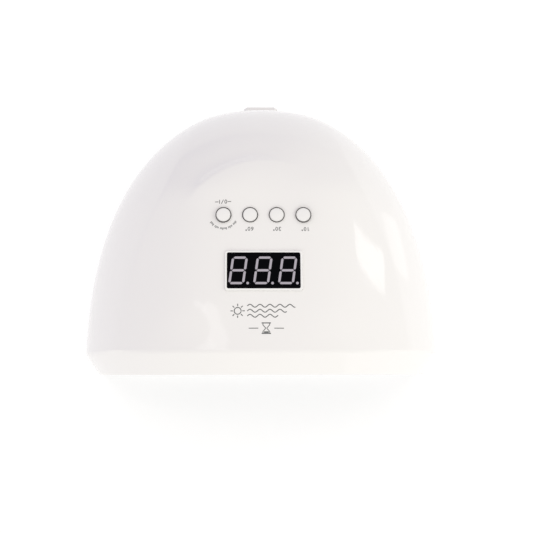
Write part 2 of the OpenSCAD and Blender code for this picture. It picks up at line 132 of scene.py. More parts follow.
# ---------------------------------------------------------------- camera
cam_data = bpy.data.cameras.new("camera")
cam = bpy.data.objects.new("camera", cam_data)
scene.collection.objects.link(cam)
pitch, pan = math.radians(71.28), math.radians(1.071)
f0 = Vector((0, math.cos(pitch), -math.sin(pitch)))
r0 = Vector((1, 0, 0))
up = Vector((0, math.sin(pitch), math.cos(pitch)))
fwd = f0 * math.cos(pan) + r0 * math.sin(pan)
right = r0 * math.cos(pan) - f0 * math.sin(pan)
m = Matrix((right, up, -fwd)).transposed().to_4x4()
m.translation = Vector((-11.11, -251.03, 730.08)) * MM
cam.matrix_world = m
cam_data.lens = 88.66
cam_data.sensor_width = 36
cam_data.clip_start = 0.01
cam_data.clip_end = 30
scene.camera = cam
scene.view_settings.view_transform = "Standard"
scene.view_settings.look = "None"
scene.view_settings.exposure = 0
scene.view_settings.gamma = 1


# ---------------------------------------------------------------- materials
def mat(name, color, rough=0.3, metal=0.0, ior=1.5, coat=0.0, coat_rough=0.05, trans=0.0, alpha=1.0, emit=0.0,
        vary=0.03, vary_scale=60, grain=0.04, grain_scale=900, bump=0.02, bump_scale=1400, dust=0.0, rvar=0.08,
        stretch=None, hue=None):
    """A moulded, metal or film surface: cloudy colour, uneven gloss and a fine relief, all from noise in object space."""
    mt = bpy.data.materials.new(name)
    mt.use_nodes = True
    nt = mt.node_tree
    b = nt.nodes["Principled BSDF"]
    L = nt.links.new

    def node(kind, **kw):
        n = nt.nodes.new(kind)
        for k, v in kw.items():
            setattr(n, k, v)
        return n

    geo = node("ShaderNodeTexCoord")
    mp = node("ShaderNodeMapping")
    if stretch:
        mp.inputs["Scale"].default_value = stretch
    L(geo.outputs["Object"], mp.inputs["Vector"])
    cloud = node("ShaderNodeTexNoise")
    cloud.inputs["Scale"].default_value = vary_scale
    cloud.inputs["Detail"].default_value = 5
    L(mp.outputs[0], cloud.inputs["Vector"])
    fine = node("ShaderNodeTexNoise")
    fine.inputs["Scale"].default_value = grain_scale
    fine.inputs["Detail"].default_value = 3
    L(mp.outputs[0], fine.inputs["Vector"])
    ramp = node("ShaderNodeMix", data_type="RGBA")
    dark = [c * (1 - vary) for c in color]
    lite = [min(1, c * (1 + vary)) for c in color]
    if hue:
        dark = [d * h for d, h in zip(dark, hue)]
    ramp.inputs["A"].default_value = (*dark, 1)
    ramp.inputs["B"].default_value = (*lite, 1)
    L(cloud.outputs["Fac"], ramp.inputs["Factor"])
    gr = node("ShaderNodeMix", data_type="RGBA", blend_type="MULTIPLY")
    gmap = node("ShaderNodeMapRange")
    gmap.inputs["From Min"].default_value = 0.3
    gmap.inputs["From Max"].default_value = 0.7
    gmap.inputs["To Min"].default_value = 1 - grain
    gmap.inputs["To Max"].default_value = 1.0
    L(fine.outputs["Fac"], gmap.inputs["Value"])
    gr.inputs["Factor"].default_value = 1
    L(ramp.outputs["Result"], gr.inputs["A"])
    L(gmap.outputs[0], gr.inputs["B"])
    out_col = gr.outputs["Result"]
    if dust:
        vor = node("ShaderNodeTexVoronoi", feature="DISTANCE_TO_EDGE")
        vor.inputs["Scale"].default_value = 240
        L(mp.outputs[0], vor.inputs["Vector"])
        dm = node("ShaderNodeMapRange")
        dm.inputs["From Max"].default_value = 0.25
        dm.inputs["To Min"].default_value = 1 - dust
        dm.inputs["To Max"].default_value = 1
        L(vor.outputs["Distance"], dm.inputs["Value"])
        d2 = node("ShaderNodeMix", data_type="RGBA", blend_type="MULTIPLY")
        d2.inputs["Factor"].default_value = 1
        L(out_col, d2.inputs["A"])
        L(dm.outputs[0], d2.inputs["B"])
        out_col = d2.outputs["Result"]
    L(out_col, b.inputs["Base Color"])
    rm = node("ShaderNodeMapRange")
    rm.inputs["From Min"].default_value = 0.25
    rm.inputs["From Max"].default_value = 0.75
    rm.inputs["To Min"].default_value = max(0.0, rough - rvar / 2)
    rm.inputs["To Max"].default_value = rough + rvar / 2
    L(cloud.outputs["Fac"], rm.inputs["Value"])
    L(rm.outputs[0], b.inputs["Roughness"])
    bn = node("ShaderNodeTexNoise")
    bn.inputs["Scale"].default_value = bump_scale
    bn.inputs["Detail"].default_value = 2
    L(mp.outputs[0], bn.inputs["Vector"])
    bp = node("ShaderNodeBump")
    bp.inputs["Strength"].default_value = bump
    bp.inputs["Distance"].default_value = 0.0002
    L(bn.outputs["Fac"], bp.inputs["Height"])
    L(bp.outputs[0], b.inputs["Normal"])
    b.inputs["Metallic"].default_value = metal
    b.inputs["IOR"].default_value = ior
    b.inputs["Coat Weight"].default_value = coat
    b.inputs["Coat Roughness"].default_value = coat_rough
    b.inputs["Transmission Weight"].default_value = trans
    b.inputs["Alpha"].default_value = alpha
    if emit:
        b.inputs["Emission Color"].default_value = (*color, 1)
        b.inputs["Emission Strength"].default_value = emit
    return mt


M = {
    "white_abs": mat("white_abs", (0.836, 0.821, 0.811), rough=0.08, ior=1.38, coat=0.04, coat_rough=0.04, vary=0.006, vary_scale=18, grain=0.004, bump=0.012, bump_scale=420, rvar=0.03),
    "bezel_plastic": mat("bezel_plastic", (0.84, 0.83, 0.82), rough=0.16, coat=0.3, vary=0.006, grain=0.005, bump=0.01, rvar=0.05),
    "cap_plastic": mat("cap_plastic", (0.83, 0.82, 0.81), rough=0.2, coat=0.3, vary=0.01, vary_scale=300, grain=0.008, bump=0.015, rvar=0.06),
    "ring_chrome": mat("ring_chrome", (0.105, 0.095, 0.097), rough=0.24, metal=1.0, vary=0.12, vary_scale=500, grain=0.1, bump=0.03),
    "display_black": mat("display_black", (0.0012, 0.0012, 0.0022), rough=0.3, ior=1.1, vary=0.15, vary_scale=120, grain=0.1, bump=0.01),
    "segment_grey": mat("segment_grey", (0.43, 0.40, 0.45), rough=0.45, ior=1.2, vary=0.05, vary_scale=900, grain=0.06, grain_scale=3000, bump=0.05),
    "black_plastic": mat("black_plastic", (0.014, 0.014, 0.016), rough=0.38, vary=0.15, vary_scale=300, grain=0.15, bump=0.12, bump_scale=2600),
    "capacitor_sleeve": mat("capacitor_sleeve", (0.01, 0.012, 0.05), rough=0.25, vary=0.1, grain=0.1),
    "board_green": mat("board_green", (0.012, 0.10, 0.045), rough=0.3, coat=0.4, vary=0.25, vary_scale=160, grain=0.15, dust=0.3),
    "connector_cream": mat("connector_cream", (0.75, 0.70, 0.58), rough=0.4, vary=0.05, grain=0.06),
    "screw_steel": mat("screw_steel", (0.55, 0.55, 0.56), rough=0.3, metal=1, vary=0.1, vary_scale=400, grain=0.15, bump=0.05, stretch=(1, 1, 6)),
    "liner_reflective": mat("liner_reflective", (0.72, 0.73, 0.75), rough=0.17, metal=1, vary=0.04, vary_scale=35, grain=0.04, bump=0.035, bump_scale=260, rvar=0.1),
    "floor_film": mat("floor_film", (0.76, 0.77, 0.79), rough=0.14, metal=1, vary=0.03, vary_scale=40, grain=0.05, bump=0.05, bump_scale=180, rvar=0.1),
    "board_white": mat("board_white", (0.78, 0.78, 0.75), rough=0.35, vary=0.05, grain=0.06, dust=0.08),
    "led_body": mat("led_body", (0.82, 0.62, 0.16), rough=0.4, vary=0.1, vary_scale=700, grain=0.1, grain_scale=2500),
    "lens_epoxy": mat("lens_epoxy", (0.95, 0.93, 0.82), rough=0.06, trans=0.85, ior=1.52, vary=0.04, vary_scale=500, grain=0.02, bump=0.02, rvar=0.04),
    "ir_clear": mat("ir_clear", (0.85, 0.9, 0.98), rough=0.06, trans=0.8, vary=0.04, vary_scale=600, grain=0.02, bump=0.02, rvar=0.04),
    "ir_dark": mat("ir_dark", (0.012, 0.006, 0.016), rough=0.1, coat=0.5, vary=0.1, grain=0.1, bump=0.02),
    "contact_nickel": mat("contact_nickel", (0.68, 0.66, 0.6), rough=0.2, metal=1, vary=0.08, vary_scale=500, grain=0.1),
    "power_lead_pvc": mat("power_lead_pvc", (0.42, 0.02, 0.02), rough=0.4, vary=0.08, grain=0.08, bump=0.06),
    "led_lead_pvc": mat("led_lead_pvc", (0.72, 0.72, 0.72), rough=0.4, vary=0.08, grain=0.08, bump=0.06),
    "sensor_lead_pvc": mat("sensor_lead_pvc", (0.6, 0.52, 0.05), rough=0.4, vary=0.08, grain=0.08, bump=0.06),
    "magnet_nickel": mat("magnet_nickel", (0.66, 0.67, 0.69), rough=0.16, metal=1, vary=0.06, grain=0.06),
    "keeper_steel": mat("keeper_steel", (0.42, 0.42, 0.44), rough=0.35, metal=1, vary=0.12, grain=0.14, bump=0.06),
    "foot_rubber": mat("foot_rubber", (0.022, 0.022, 0.023), rough=0.75, vary=0.2, vary_scale=350, grain=0.2, bump=0.3, bump_scale=1800, rvar=0.15),
    "ink": mat("ink", (0.15, 0.155, 0.155), rough=0.45, vary=0.12, vary_scale=800, grain=0.12, grain_scale=3500, bump=0.03),
}
SLOT = {s["node"]: s["material_slot"] for s in frame["record"]["subparts"]}
for n, o in NODES.items():
    o.data.materials.clear()
    o.data.materials.append(M[SLOT[n]])


def piece(name, verts, faces, material, body, smooth=True, sharp=35):
    me = bpy.data.meshes.new(name)
    me.from_pydata([tuple(v) for v in verts], [], faces)
    me.validate(clean_customdata=False)
    me.update()
    if smooth:
        me.polygons.foreach_set("use_smooth", [True] * len(me.polygons))
        me.set_sharp_from_angle(angle=math.radians(sharp))
    me.materials.append(M[material])
    o = bpy.data.objects.new(name, me)
    scene.collection.objects.link(o)
    if body:
        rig.ride(o, body)
        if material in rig.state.slots:
            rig.slot(o, material)
    return o


def apply_mods(o):
    dg = bpy.context.evaluated_depsgraph_get()
    me = bpy.data.meshes.new_from_object(o.evaluated_get(dg))
    o.modifiers.clear()
    old = o.data
    o.data = me
    bpy.data.meshes.remove(old)


# ---------------------------------------------------------------- the dome's form, in millimetres
HW, H, RIM, WALL = 99.4, 95.0, 2.0, 2.5
LEAN = math.tan(math.radians(14))
MOUTH, BAND, BIN = -69.0, 11.8, 8.0
REAR, FY, FP, FQ, CY, SN, SM = 88.0, -70.9, 1.904, 2.489, 4.6, 2.357, 2.086


def half_at(y, w):
    return np.where(y <= FY, HW - w, (HW - w) * np.maximum(0, 1 - np.maximum(0, (y - FY) / (REAR - w - FY)) ** FQ) ** (1 / FP))


def crest_at(y, w):
    h = H - RIM - w
    return np.where(y <= CY, h - 5 * np.maximum(0, (CY - y) / 85) ** 1.3,
                    h * np.maximum(0, 1 - np.maximum(0, (y - CY) / (REAR - w - CY)) ** 2.142) ** 0.599)


def skin(y0, k, t, w=0.0, d=0.0):
    s, c = np.sin(t), np.cos(t)
    s = np.maximum(s, 0)
    y = y0 - 60 * LEAN * k * s
    for _ in range(6):
        y = y0 - (RIM + (crest_at(y, w) - d) * s ** (2 / SM)) * LEAN * k
    x = (half_at(y, w) - d) * np.sign(c) * np.abs(c) ** (2 / SN)
    z = (crest_at(y, w) - d) * s ** (2 / SM)
    return np.stack([x, y, RIM + z], -1)


def smooth(e0, e1, v):
    q = np.clip((v - e0) / (e1 - e0), 0, 1)
    return q * q * (3 - 2 * q)


# plan of the soft crease that runs from the rear shoulders to the front corners: |x| at y
CREASE_Y = np.array([-90, -69, -40, -28, -3, 10, 30, 50, 64, 76, 84, 90.0])
CREASE_X = np.array([79, 77.2, 72, 68.5, 59, 52.5, 44.5, 38.5, 35.5, 34.5, 34, 34.0])
ARC = (0.9, -22.9, 47.4)


def shape(P):
    """Adds the crease, the raised panel and its stepped rear edge to points of the outer surface."""
    x, y, z = P[..., 0], P[..., 1], P[..., 2]
    out = P.copy()
    # crease: a low ridge with slightly hollow flanks, drawn along the plan distance from its line
    cx = np.interp(y, CREASE_Y, CREASE_X)
    slope = np.gradient(np.interp(np.linspace(-90, 90, 361), CREASE_Y, CREASE_X), 0.5)
    sl = np.interp(y, np.linspace(-90, 90, 361), slope)
    dist = (np.abs(x) - cx) / np.sqrt(1 + sl ** 2)
    steep = 1 + 1.1 * smooth(0, 30, dist)
    ridge = np.exp(-(np.sqrt((dist * steep) ** 2 + 1.6 ** 2) - 1.6) / 8.5)
    amp = 1.25 * smooth(-80.5, -74, y) * smooth(2, 12, z + np.where(y > 60, 8, 0)) * (1 - 0.72 * smooth(18, 66, y))
    nx = np.sign(x) * 0.62
    out[..., 0] += amp * ridge * nx * np.where(np.abs(x) > 1, 1, 0)
    out[..., 2] += amp * ridge * 0.62 * smooth(RIM, RIM + 6, z)
    # a slightly flattened rear between the shoulders
    rear = smooth(60, 84, y) * smooth(33, 18, np.abs(x))
    out[..., 1] -= 0.5 * rear * smooth(RIM - 1, 40, z) * smooth(88.5, 86, y)
    # raised panel
    drop = (H - RIM) * (np.abs(x) / HW) ** SN / SM
    flat = 0.72 * drop * smooth(62, 8, np.abs(x)) * smooth(-76, -52, y) * smooth(26, 8, y)
    rr = np.hypot(x - ARC[0], y - ARC[1])
    ang = np.degrees(np.arctan2(y - ARC[1], x - ARC[0]))
    span = smooth(60, 108, ang) * smooth(154, 126, ang)
    s = rr - ARC[2]
    sp = np.maximum(0, s)
    raise_ = 1.4 * smooth(-32, 0, s)
    drop2 = (raise_ + 1.95) * (1 - np.exp(-sp / 3.5)) * np.exp(-(sp / 24.0) ** 1.3) + raise_ * (1 - np.exp(-(sp / 24.0) ** 1.3))
    lift = span * (raise_ - drop2)
    soft = np.exp(-(s / 0.5) ** 2) * 0.06 * span
    out[..., 2] += np.where(z > 40, flat + lift - soft, 0)
    return out


T = np.linspace(0, math.pi, 221)
# even out the points along the section
sec = skin(np.array(-40.0), 0.0, np.linspace(0, math.pi, 2001))
seg = np.concatenate([[0], np.cumsum(np.linalg.norm(np.diff(sec, axis=0), axis=1))])
T = np.interp(np.linspace(0, seg[-1], 221), seg, np.linspace(0, math.pi, 2001))


def body_rows(w, n, first):
    rows = []
    f = np.concatenate([np.linspace(0, 0.9, n - 40)[:-1], np.linspace(0.9, 1, 41)])
    y_start = MOUTH + BAND
    for q in f:
        g = math.sin(math.pi / 2 * q)
        y0 = y_start + (REAR - 0.02 - y_start) * g
        k = max(0.0, 1 - 2.2 * g)
        if g == 0:
            y0 = y_start
        y0 -= w * max(0.0, (y0 + 40) / 130)
        rows.append(skin(np.array(y0), k, T, w, 0.0))
    return rows


def quad_bezier(a, b, c, n):
    return [(1 - u) ** 2 * a + 2 * u * (1 - u) * b + u * u * c for u in np.linspace(0, 1, n)]


def dome():
    lip = skin(np.array(MOUTH), 1.0, T, 0, BIN)
    inner_lip = skin(np.array(MOUTH), 1.0, T, WALL, BIN)
    body = body_rows(0, 200, True)
    edge = body[0]
    shaped = [shape(r) for r in body]
    # rounded crease between the band and the body
    near_body = shape(skin(np.array(MOUTH + BAND + 1.1), 1 - 2.2 * 1.1 / 145, T, 0, 0))
    along = edge + (lip - edge) * 0.085
    corner = quad_bezier(along, edge, near_body, 7)
    far = edge + (lip - edge) * 0.93
    face = lip + (inner_lip - lip) * 0.32
    round_lip = quad_bezier(face, lip, far, 7)
    outer = [inner_lip, lip + (inner_lip - lip) * 0.6] + round_lip + [far + (along - far) * u for u in np.linspace(0, 1, 9)[1:-1]] + corner
    keep = [r for r, b in zip(shaped, body) if b[0, 1] > near_body[0, 1] + 0.15]
    outer += keep
    # inside, front to rear
    inner = [skin(np.array(MOUTH), 1.0, T, WALL, BIN)] + body_rows(WALL, 90, False)
    return outer, inner


outer, inner = dome()
n = len(T)
verts, faces = [], []
for r in outer:
    verts.extend((r * MM).tolist())
no = len(outer)
base_i = no * n
for r in inner[1:]:
    verts.extend((r * MM).tolist())
ni = len(inner)


def iid(i, j):
    return j if i == 0 else base_i + (i - 1) * n + j


for i in range(no - 1):
    for j in range(n - 1):
        faces.append((i * n + j, (i + 1) * n + j, (i + 1) * n + j + 1, i * n + j + 1))
for i in range(ni - 1):
    for j in range(n - 1):
        faces.append((iid(i, j), iid(i, j + 1), iid(i + 1, j + 1), iid(i + 1, j)))
# rear caps, and the flat rim underneath
faces.append(tuple((no - 1) * n + j for j in range(n)))
faces.append(tuple(iid(ni - 1, j) for j in range(n - 1, -1, -1)))


def rim(side):
    """Stitches the outer lower edge to the inner lower edge, matching points by their y."""
    jj = 0 if side > 0 else n - 1
    a = [i * n + jj for i in range(no)]
    b = [iid(i, jj) for i in range(ni)]
    ia = ib = 0
    tris = []
    while ia < len(a) - 1 or ib < len(b) - 1:
        ya = verts[a[min(ia + 1, len(a) - 1)]][1] if ia < len(a) - 1 else 9
        yb = verts[b[min(ib + 1, len(b) - 1)]][1] if ib < len(b) - 1 else 9
        if ya <= yb:
            t3 = (a[ia], a[ia + 1], b[ib])
            ia += 1
        else:
            t3 = (a[ia], b[ib + 1], b[ib])
            ib += 1
        if len(set(t3)) == 3:
            tris.append(t3 if side < 0 else t3[::-1])
    return tris


faces += rim(1) + rim(-1)
# the rear end of the rim
faces.append(((no - 1) * n, (no - 1) * n + n - 1, iid(ni - 1, n - 1), iid(ni - 1, 0)))

shell = piece("dome_shell", verts, faces, "white_abs", None, smooth=False)
bm = bmesh.new()
bm.from_mesh(shell.data)
bmesh.ops.recalc_face_normals(bm, faces=bm.faces)
bm.to_mesh(shell.data)
bm.free()

PANEL = Matrix.Translation(Vector((0, -19.4, RIM + float(crest_at(np.array(-19.4), 0)))) * MM) @ Matrix.Rotation(math.radians(3.2), 4, "X")


def temp(name, verts, faces):
    me = bpy.data.meshes.new(name)
    me.from_pydata([tuple(v) for v in verts], [], faces)
    o = bpy.data.objects.new(name, me)
    scene.collection.objects.link(o)
    return o


def lathe(profile, k=64):
    """Solid of revolution about Z from (r, z) pairs that start and end on the axis, in millimetres."""
    v, f = [], []
    idx = []
    for r, z in profile:
        if r < 1e-6:
            idx.append([len(v)] * k)
            v.append((0, 0, z * MM))
        else:
            idx.append(list(range(len(v), len(v) + k)))
            v += [(r * math.cos(2 * math.pi * a / k) * MM, r * math.sin(2 * math.pi * a / k) * MM, z * MM) for a in range(k)]
    for a, b in zip(idx, idx[1:]):
        for j in range(k):
            q = [a[j], a[(j + 1) % k], b[(j + 1) % k], b[j]]
            q = [x for i, x in enumerate(q) if x not in q[:i]]
            if len(q) > 2:
                f.append(tuple(q))
    return v, f


def ring_lathe(profile, k=72):
    """Ring of revolution about Z from a closed loop of (r, z) pairs."""
    p = len(profile)
    v = [(r * math.cos(2 * math.pi * a / k) * MM, r * math.sin(2 * math.pi * a / k) * MM, z * MM) for a in range(k) for r, z in profile]
    f = [(a * p + i, ((a + 1) % k) * p + i, ((a + 1) % k) * p + (i + 1) % p, a * p + (i + 1) % p) for a in range(k) for i in range(p)]
    return v, f


def rounded_rect(w, h, r, k=8):
    pts = []
    for cx, cy, a0 in ((w / 2 - r, h / 2 - r, 0), (-w / 2 + r, h / 2 - r, 90), (-w / 2 + r, -h / 2 + r, 180), (w / 2 - r, -h / 2 + r, 270)):
        for i in range(k + 1):
            a = math.radians(a0 + 90 * i / k)
            pts.append((cx + r * math.cos(a), cy + r * math.sin(a)))
    return pts


def prism(loops, cap=True):
    """Skins a stack of closed loops of equal length, each a list of (x, y, z) in millimetres."""
    k = len(loops[0])
    v = [(x * MM, y * MM, z * MM) for lp in loops for x, y, z in lp]
    f = [(a * k + i, a * k + (i + 1) % k, (a + 1) * k + (i + 1) % k, (a + 1) * k + i) for a in range(len(loops) - 1) for i in range(k)]
    if cap:
        f += [tuple(range(k - 1, -1, -1)), tuple((len(loops) - 1) * k + i for i in range(k))]
    return v, f


def place(v, mtx):
    return [tuple(mtx @ Vector(p)) for p in v]


BX = [-20.7, -6.9, 6.9, 20.7]
BY, DY = 12.0, -18.0
cutters = []
for bx in BX:
    v, f = lathe([(0, -7), (4.12, -7), (4.12, 7), (0, 7)], 72)
    cutters.append(temp("cut", place(v, PANEL @ Matrix.Translation(Vector((bx, BY, 0)) * MM)), f))
rr = rounded_rect(39.2, 20.6, 1.0)
v, f = prism([[(x, y + DY, -8) for x, y in rr], [(x, y + DY, 6) for x, y in rr]])
cutters.append(temp("cut", place(v, PANEL), f))
rr = rounded_rect(40.08, 21.38, 1.55)
v, f = prism([[(x, y + DY, -0.9) for x, y in rr], [(x, y + DY, 6) for x, y in rr]])
cutters.append(temp("cut", place(v, PANEL), f))
# power inlet: hole and pocket
TO_REAR = Matrix.Translation(Vector((0, 0, 13)) * MM) @ Matrix.Rotation(math.radians(-90), 4, "X")
# boss with bevelled sides, added to the shell
boss_loop = [(-9.9, -6.6), (-8.7, -7.6), (8.7, -7.6), (9.9, -6.6), (9.9, 6.0), (8.1, 8.3), (-8.1, 8.3), (-9.9, 6.0)]


def boss_ring(y, grow):
    return [(x + grow * (1 if x > 0 else -1), y, 13 + z + grow * (1 if z > 0 else 0)) for x, z in boss_loop]


loops = [boss_ring(78, 0.0), boss_ring(88.75, 0.0), boss_ring(89.05, -0.15), boss_ring(89.19, -0.4)]
v, f = prism(loops)
boss = temp("boss", v, f)


def boolean(o, other, op, solver="MANIFOLD"):
    md = o.modifiers.new("b", "BOOLEAN")
    md.operation = op
    md.object = other
    try:
        md.solver = solver
    except TypeError:
        md.solver = "EXACT"


for c in cutters + [boss]:
    b2 = bmesh.new()
    b2.from_mesh(c.data)
    bmesh.ops.recalc_face_normals(b2, faces=b2.faces)
    bmesh.ops.triangulate(b2, faces=[fc for fc in b2.faces if len(fc.verts) > 4])
    b2.to_mesh(c.data)
    b2.free()
boolean(shell, boss, "UNION")
for c in cutters:
    boolean(shell, c, "DIFFERENCE")
v, f = lathe([(0, 70), (4.32, 70), (4.32, 95), (0, 95)], 72)
hole = temp("cut", place(v, TO_REAR), f)
pk = [(-4.9, 7.2), (4.9, 7.2), (4.9, 18.35), (-4.9, 18.35)]
v, f = prism([[(x, 60, z) for x, z in pk], [(x, 86.85, z) for x, z in pk]])
pocket = temp("cut", v, f)
for c in (pocket, hole):
    b2 = bmesh.new()
    b2.from_mesh(c.data)
    bmesh.ops.recalc_face_normals(b2, faces=b2.faces)
    b2.to_mesh(c.data)
    b2.free()
    boolean(shell, c, "DIFFERENCE")
apply_mods(shell)
for c in cutters + [boss, pocket, hole]:
    bpy.data.objects.remove(c)
shell.data.polygons.foreach_set("use_smooth", [True] * len(shell.data.polygons))
shell.data.set_sharp_from_angle(angle=math.radians(32))
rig.ride(shell, "housing")
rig.slot(shell, "white_abs")
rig.replaces(shell, "outer_shell")
print("dome", len(shell.data.vertices), "points")

# ---------------------------------------------------------------- buttons
for name, bx, cap_node, body in (("power_button", BX[0], "power_button_cap", "power_button"), ("button_60", BX[1], "button_cap_60", "button_60"),
                                 ("button_30", BX[2], "button_cap_30", "button_30"), ("button_10", BX[3], "button_cap_10", "button_10")):
    at = PANEL @ Matrix.Translation(Vector((bx, BY, 0)) * MM)
    crown = [(0, 0.62)] + [(r, 0.62 - 0.26 * (r / 3.3) ** 2.2) for r in (0.6, 1.2, 1.8, 2.4, 2.9, 3.3)] + [(3.58, 0.28), (3.72, 0.16), (3.78, -0.05)]
    v, f = lathe(crown + [(3.78, -2.5), (3.7, -2.7), (4.0, -2.7), (4.0, -3.4), (1.5, -3.4), (1.5, -4.05), (0, -4.05)])
    o = piece(name + "_cap_detail", place(v, at), [q[::-1] for q in f], "cap_plastic", body, sharp=40)
    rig.replaces(o, cap_node)

loops = []
allv, allf = [], []
for bx in BX:
    at = PANEL @ Matrix.Translation(Vector((bx, BY, 0)) * MM)
    v, f = ring_lathe([(3.85, -2.4), (3.85, 0.3), (3.88, 0.42), (3.92, 0.49), (3.97, 0.51), (4.02, 0.48), (4.05, 0.4), (4.07, 0.28), (4.07, -2.4)])
    off = len(allv)
    allv += place(v, at)
    allf += [tuple(i + off for i in q) for q in f]
o = piece("button_rings_detail", allv, allf, "ring_chrome", "housing", sharp=50)
bm = bmesh.new(); bm.from_mesh(o.data); bmesh.ops.recalc_face_normals(bm, faces=bm.faces); bm.to_mesh(o.data); bm.free()
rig.replaces(o, "button_rings")

# ---------------------------------------------------------------- display frame
ow, oh, iw, ih = 40.0, 21.3, 37.7, 19.1


def rect_loop(w, h, r, z):
    return [(x, y + DY, z) for x, y in rounded_rect(w, h, max(r, 0.05), 6)]


stack = [rect_loop(39.0, 20.4, 0.9, -4), rect_loop(39.0, 20.4, 0.9, -0.88), rect_loop(ow, oh, 1.5, -0.88), rect_loop(ow, oh, 1.5, 0.3),
         rect_loop(ow - 0.2, oh - 0.2, 1.4, 0.56), rect_loop(ow - 0.6, oh - 0.6, 1.25, 0.74), rect_loop(ow - 1.1, oh - 1.1, 1.1, 0.8),
         rect_loop(38.2, 19.6, 1.1, 0.8), rect_loop(37.9, 19.3, 1.0, 0.77), rect_loop(37.75, 19.15, 0.95, 0.7), rect_loop(iw, ih, 0.9, 0.6),
         rect_loop(iw, ih, 0.4, 0.1), rect_loop(iw, ih, 0.4, -4)]
k = len(stack[0])
v = [(x * MM, y * MM, z * MM) for lp in stack for x, y, z in lp]
S = len(stack)
f = [(a * k + i, a * k + (i + 1) % k, ((a + 1) % S) * k + (i + 1) % k, ((a + 1) % S) * k + i) for a in range(S) for i in range(k)]
o = piece("display_frame", place(v, PANEL), f, "bezel_plastic", "housing", sharp=45)
bm = bmesh.new(); bm.from_mesh(o.data); bmesh.ops.recalc_face_normals(bm, faces=bm.faces); bm.to_mesh(o.data); bm.free()
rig.replaces(o, "display_bezel")

# ---------------------------------------------------------------- printed marks
dg = bpy.context.evaluated_depsgraph_get()
tree = BVHTree.FromObject(shell, dg)


def on_shell(x, y):
    hit = tree.ray_cast(Vector((x * MM, y * MM, 0.2)), Vector((0, 0, -1)))
    return (hit[0].z / MM, hit[1]) if hit[0] is not None else (94.0, Vector((0, 0, 1)))


ink_v, ink_f = [], []


def stroke(pts, width, closed=False):
    """A printed line: a thin ribbon that lies on the dome."""
    pts = [np.array(p, float) for p in pts]
    fine = []
    for a, b in zip(pts, pts[1:] + ([pts[0]] if closed else [])):
        kk = max(1, int(np.linalg.norm(b - a) / 0.6))
        fine += [a + (b - a) * i / kk for i in range(kk)]
    if not closed:
        fine.append(pts[-1])
    m2 = len(fine)
    start = len(ink_v)
    for i, p in enumerate(fine):
        a = fine[i - 1] if (i > 0 or closed) else p
        b = fine[(i + 1) % m2] if (i < m2 - 1 or closed) else p
        d = b - a
        d = d / max(1e-9, np.linalg.norm(d))
        nrm = np.array([-d[1], d[0]]) * width / 2
        if i == 0 and not closed:
            p = p - d * width * 0.3
        if i == m2 - 1 and not closed:
            p = p + d * width * 0.3
        for q, h in ((p + nrm, 0.035), (p - nrm, 0.035), (p - nrm, -0.08), (p + nrm, -0.08)):
            z, _ = on_shell(q[0], q[1])
            ink_v.append((q[0] * MM, q[1] * MM, (z + h) * MM))
    last = m2 if closed else m2 - 1
    for i in range(last):
        a, b = start + 4 * i, start + 4 * ((i + 1) % m2)
        for e in range(4):
            ink_f.append((a + e, a + (e + 1) % 4, b + (e + 1) % 4, b + e))
    if not closed:
        ink_f.append((start + 3, start + 2, start + 1, start))
        e = start + 4 * (m2 - 1)
        ink_f.append((e, e + 1, e + 2, e + 3))


def arc(cx, cy, rx, ry, a0, a1, k=14):
    return [(cx + rx * math.cos(math.radians(a0 + (a1 - a0) * i / k)), cy + ry * math.sin(math.radians(a0 + (a1 - a0) * i / k))) for i in range(k + 1)]


# glyphs in a cell one unit wide and 1.6 high, with its foot at zero
GLYPH = {
    "0": [arc(0.5, 0.8, 0.42, 0.74, 0, 360, 20)],
    "1": [[(0.25, 1.25), (0.6, 1.55), (0.6, 0.05)]],
    "3": [arc(0.48, 1.16, 0.38, 0.38, 150, -80, 12) + arc(0.48, 0.42, 0.42, 0.38, 85, -150, 12)],
    "6": [arc(0.5, 0.46, 0.4, 0.42, 0, 360, 16), [(0.12, 0.5), (0.2, 1.0), (0.45, 1.38), (0.8, 1.52)]],
    "''": [[(0.15, 1.6), (0.15, 1.2)], [(0.45, 1.6), (0.45, 1.2)]],
    "/": [[(0.1, 0.0), (0.9, 1.6)]],
    "I": [[(0.3, 0.05), (0.3, 1.55)]],
    "-": [[(0.1, 0.8), (1.35, 0.8)]],
}


def write(symbols, cx, cy, size, width, turned=True):
    adv = [1.0 if s == "''" else 0.75 if s == "I" else 1.7 if s == "-" else 1.4 for s in symbols]
    total = sum(adv) - 0.3
    pos = -total / 2
    for s, a in zip(symbols, adv):
        for path in GLYPH[s]:
            pts = [((pos + px) * size, (py - 0.8) * size) for px, py in path]
            if turned:
                pts = [(-px, -py) for px, py in pts]
            stroke([(cx + px, cy + py) for px, py in pts], width)
        pos += a


LW = 0.34
write(["6", "0", "''"], -7.3, -15.0, 1.2, LW)
write(["3", "0", "''"], 7.0, -15.0, 1.2, LW)
write(["1", "0", "''"], 21.7, -14.9, 1.2, LW)
write(["-", "0", "/", "I", "-"], -20.9, -0.2, 1.25, 0.36)
# a ring of scale ticks round the near side of the power button
for i in range(26):
    if i in (4, 9, 16, 21):
        continue
    a = math.radians(209 + 122 * i / 25)
    r1, r2 = 6.85, (7.9 if i % 3 == 0 else 7.55)
    c = (-20.7, -7.4)
    stroke([(c[0] + r1 * math.cos(a), c[1] + r1 * math.sin(a)), (c[0] + r2 * math.cos(a), c[1] + r2 * math.sin(a))], 0.36)
